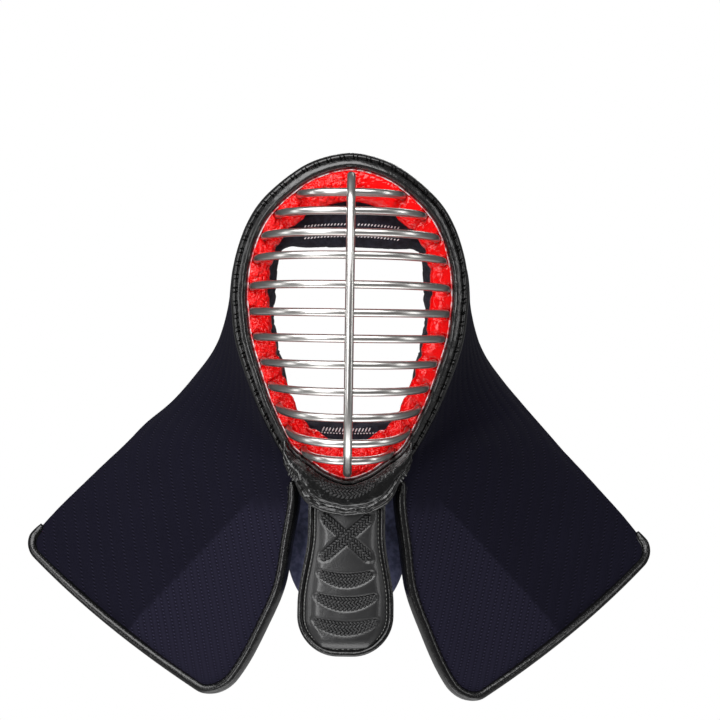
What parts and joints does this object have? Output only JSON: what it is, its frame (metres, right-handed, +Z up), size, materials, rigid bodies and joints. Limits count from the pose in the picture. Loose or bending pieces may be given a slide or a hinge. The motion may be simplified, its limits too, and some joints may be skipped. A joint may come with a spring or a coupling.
{
  "type": "kendo men helmet",
  "caption": "Kendo face guard with a domed steel bar grille in red and black leather, a quilted navy cloth hood with two bound shoulder flaps, and a braided throat guard.",
  "frame": {"origin": "the inside of the hood over the middle of the crown, where the top of the head meets the cloth", "axes": "+Z is up, -Y is the way the grille faces, and +X is to the right of someone who looks at the grille"},
  "size_m": [0.4788, 0.2377, 0.3938],
  "materials": {
    "steel": "satin, rear half of each bar lacquered red",
    "red_leather": "glossy crinkled lacquer",
    "black_leather": "fine grain, glossy",
    "quilted_cloth": "dark navy machine quilting, matt",
    "pad_cloth": "navy felted cloth, matt",
    "braid_cord": "black braided cord"
  },
  "bodies": {
    "root": {"grille": "steel", "red_facing": "red_leather", "leather_rim": "black_leather", "face_pad": "pad_cloth", "quilted_hood": "quilted_cloth", "flap_binding_left": "black_leather", "flap_binding_right": "black_leather", "chin_cup": "black_leather", "throat_guard": "black_leather", "throat_guard_binding": "black_leather", "throat_tongue": "pad_cloth", "braid_cross": "braid_cord", "braid_chin": "braid_cord", "braid_crescent_upper": "braid_cord", "braid_crescent_middle": "braid_cord", "braid_crescent_lower": "braid_cord"}
  },
  "joints": []
}
